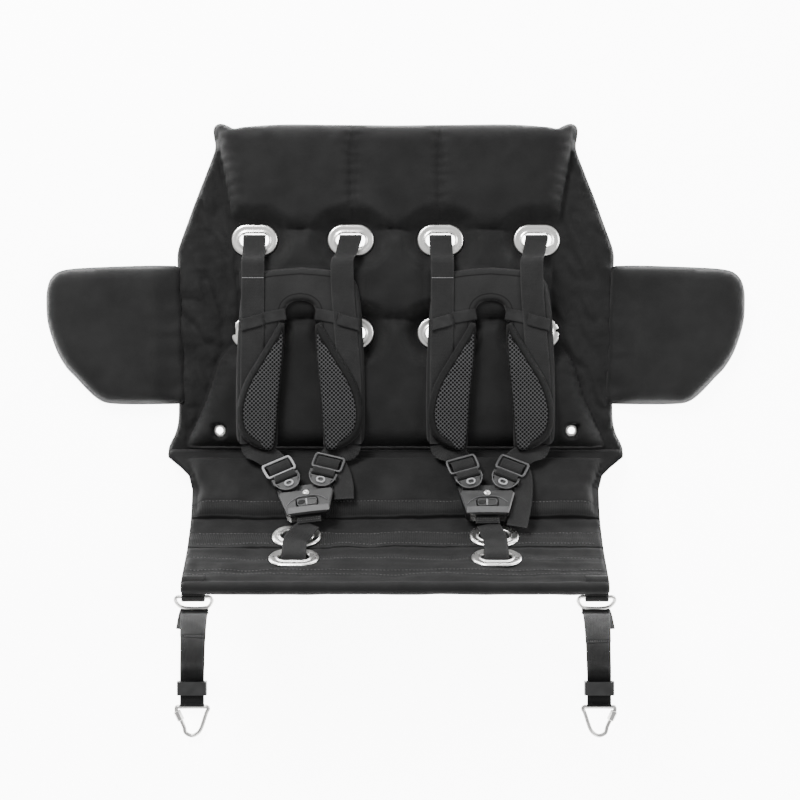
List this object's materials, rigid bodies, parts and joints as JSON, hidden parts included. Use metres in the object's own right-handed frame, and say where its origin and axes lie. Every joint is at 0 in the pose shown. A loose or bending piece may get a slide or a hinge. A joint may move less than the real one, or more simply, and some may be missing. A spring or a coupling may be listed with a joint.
{
  "type": "bicycle trailer child seat insert",
  "caption": "Quilted double sling seat for a child trailer, with side wings, two five-point harnesses, strap slots, and leg straps ending in screw links.",
  "frame": {"origin": "centre of the backrest's rear face, on the surface that the seat lies on", "axes": "+Z out of the padded face, +Y towards the headrest edge, +X to the right as seen from the front"},
  "size_m": [0.9194, 0.8084, 0.2153],
  "materials": {
    "shell_fabric": "black woven polyester, quilted",
    "pad_fabric": "black brushed polyester with bound edges",
    "mesh_fabric": "black spacer mesh",
    "webbing": "black polyester webbing, slight sheen",
    "plastic": "black moulded acetal, satin",
    "plated_steel": "bright plated steel"
  },
  "bodies": {
    "back": {"rear_cover": "shell_fabric", "headrest_cushion": "shell_fabric", "middle_cushion": "shell_fabric", "lumbar_cushion": "shell_fabric", "upper_eyelet_left_outer": "plated_steel", "upper_eyelet_left_inner": "plated_steel", "upper_eyelet_right_inner": "plated_steel", "upper_eyelet_right_outer": "plated_steel", "lower_eyelet_left_outer": "plated_steel", "lower_eyelet_left_inner": "plated_steel", "lower_eyelet_right_inner": "plated_steel", "lower_eyelet_right_outer": "plated_steel", "backing_pad_left": "pad_fabric", "backing_pad_right": "pad_fabric", "shoulder_webbing_left_outer": "webbing", "shoulder_webbing_left_inner": "webbing", "shoulder_webbing_right_outer": "webbing", "shoulder_webbing_right_inner": "webbing", "shoulder_pad_left_outer": "mesh_fabric", "shoulder_pad_left_inner": "mesh_fabric", "shoulder_pad_right_outer": "mesh_fabric", "shoulder_pad_right_inner": "mesh_fabric"},
    "wing_left": {"wing_left": "pad_fabric"},
    "wing_right": {"wing_right": "pad_fabric"},
    "seat": {"seat_panel": "shell_fabric", "seat_cushion": "shell_fabric", "spare_crotch_eyelet_left": "plated_steel", "spare_crotch_eyelet_right": "plated_steel", "crotch_eyelet_left": "plated_steel", "crotch_eyelet_right": "plated_steel", "crotch_strap_left": "webbing", "crotch_strap_right": "webbing"},
    "buckle_left": {"buckle_housing_left": "plastic", "buckle_cover_left": "plastic"},
    "button_left": {"release_button_left": "plastic"},
    "tongue_left_outer": {"tongue_left_outer": "plastic", "tongue_webbing_left_outer": "webbing", "strap_slide_left_outer": "plastic"},
    "tongue_left_inner": {"tongue_left_inner": "plastic", "tongue_webbing_left_inner": "webbing", "strap_slide_left_inner": "plastic"},
    "buckle_right": {"buckle_housing_right": "plastic", "buckle_cover_right": "plastic"},
    "button_right": {"release_button_right": "plastic"},
    "tongue_right_outer": {"tongue_right_outer": "plastic", "tongue_webbing_right_outer": "webbing", "strap_slide_right_outer": "plastic"},
    "tongue_right_inner": {"tongue_right_inner": "plastic", "tongue_webbing_right_inner": "webbing", "strap_slide_right_inner": "plastic"},
    "ring_left": {"d_ring_left": "plated_steel"},
    "leg_left": {"leg_strap_left": "webbing"},
    "lock_left": {"ladder_lock_left": "plastic"},
    "link_left": {"quick_link_left": "plated_steel"},
    "sleeve_left": {"link_sleeve_left": "plated_steel"},
    "ring_right": {"d_ring_right": "plated_steel"},
    "leg_right": {"leg_strap_right": "webbing"},
    "lock_right": {"ladder_lock_right": "plastic"},
    "link_right": {"quick_link_right": "plated_steel"},
    "sleeve_right": {"link_sleeve_right": "plated_steel"}
  },
  "joints": [
    {"name": "seat_fold", "type": "hinge", "parent": "back", "child": "seat", "pos_m": [0, -0.215, 0.01], "axis": [-1, 0, 0], "range_deg": [0, 20]},
    {"name": "wing_fold_left", "type": "hinge", "parent": "back", "child": "wing_left", "pos_m": [-0.278, -0.153, 0.0025], "axis": [-0.0537, 0.9986, 0], "range_deg": [0, 90]},
    {"name": "wing_fold_right", "type": "hinge", "parent": "back", "child": "wing_right", "pos_m": [0.278, -0.153, 0.0025], "axis": [-0.0537, -0.9986, 0], "range_deg": [0, 90]},
    {"name": "harness_swing_left", "type": "hinge", "parent": "back", "child": "buckle_left", "pos_m": [-0.1225, -0.217, 0.04025], "axis": [-1, 0, 0], "range_deg": [0, 28]},
    {"name": "harness_swing_right", "type": "hinge", "parent": "back", "child": "buckle_right", "pos_m": [0.116, -0.217, 0.04025], "axis": [-1, 0, 0], "range_deg": [0, 28]},
    {"name": "button_press_left", "type": "slide", "parent": "buckle_left", "child": "button_left", "axis": [0, -0.6157, -0.788], "range_m": [0, 0.0025], "stiffness_N_per_m": 400, "springref_m": -0.002},
    {"name": "button_press_right", "type": "slide", "parent": "buckle_right", "child": "button_right", "axis": [0, -0.6157, -0.788], "range_m": [0, 0.0025], "stiffness_N_per_m": 400, "springref_m": -0.002},
    {"name": "tongue_pull_left_outer", "type": "slide", "parent": "buckle_left", "child": "tongue_left_outer", "axis": [-0.4695, 0.6958, -0.5436], "range_m": [0, 0.007]},
    {"name": "tongue_pull_left_inner", "type": "slide", "parent": "buckle_left", "child": "tongue_left_inner", "axis": [0.2756, 0.7575, -0.5918], "range_m": [0, 0.007]},
    {"name": "tongue_pull_right_outer", "type": "slide", "parent": "buckle_right", "child": "tongue_right_outer", "axis": [0.4384, 0.7083, -0.5534], "range_m": [0, 0.007]},
    {"name": "tongue_pull_right_inner", "type": "slide", "parent": "buckle_right", "child": "tongue_right_inner", "axis": [-0.309, 0.7494, -0.5855], "range_m": [0, 0.007]},
    {"name": "ring_swing_left", "type": "hinge", "parent": "seat", "child": "ring_left", "pos_m": [-0.238, -0.3788, 0.20434], "axis": [1, 0, 0], "range_deg": [-40, 30]},
    {"name": "ring_swing_right", "type": "hinge", "parent": "seat", "child": "ring_right", "pos_m": [0.238, -0.3788, 0.20434], "axis": [1, 0, 0], "range_deg": [-40, 30]},
    {"name": "leg_swing_left", "type": "hinge", "parent": "ring_left", "child": "leg_left", "pos_m": [-0.238, -0.39763, 0.18962], "axis": [1, 0, 0], "range_deg": [-30, 20]},
    {"name": "leg_swing_right", "type": "hinge", "parent": "ring_right", "child": "leg_right", "pos_m": [0.238, -0.39763, 0.18962], "axis": [1, 0, 0], "range_deg": [-30, 20]},
    {"name": "lock_slide_left", "type": "slide", "parent": "leg_left", "child": "lock_left", "axis": [0, 1, 0], "range_m": [-0.004, 0.008]},
    {"name": "lock_slide_right", "type": "slide", "parent": "leg_right", "child": "lock_right", "axis": [0, 1, 0], "range_m": [-0.004, 0.008]},
    {"name": "link_swing_left", "type": "hinge", "parent": "leg_left", "child": "link_left", "pos_m": [-0.27, -0.5537, 0.005], "axis": [1, 0, 0], "range_deg": [-90, 90]},
    {"name": "link_swing_right", "type": "hinge", "parent": "leg_right", "child": "link_right", "pos_m": [0.27, -0.5537, 0.005], "axis": [1, 0, 0], "range_deg": [-90, 90]},
    {"name": "sleeve_travel_left", "type": "slide", "parent": "link_left", "child": "sleeve_left", "axis": [0.4244, -0.9055, 0], "range_m": [0, 0.007]},
    {"name": "sleeve_travel_right", "type": "slide", "parent": "link_right", "child": "sleeve_right", "axis": [-0.4244, -0.9055, 0], "range_m": [0, 0.007]}
  ],
  "couplings": [
    {"joint": "harness_swing_left", "follows": "seat_fold", "ratio": 1.4},
    {"joint": "harness_swing_right", "follows": "seat_fold", "ratio": 1.4}
  ]
}
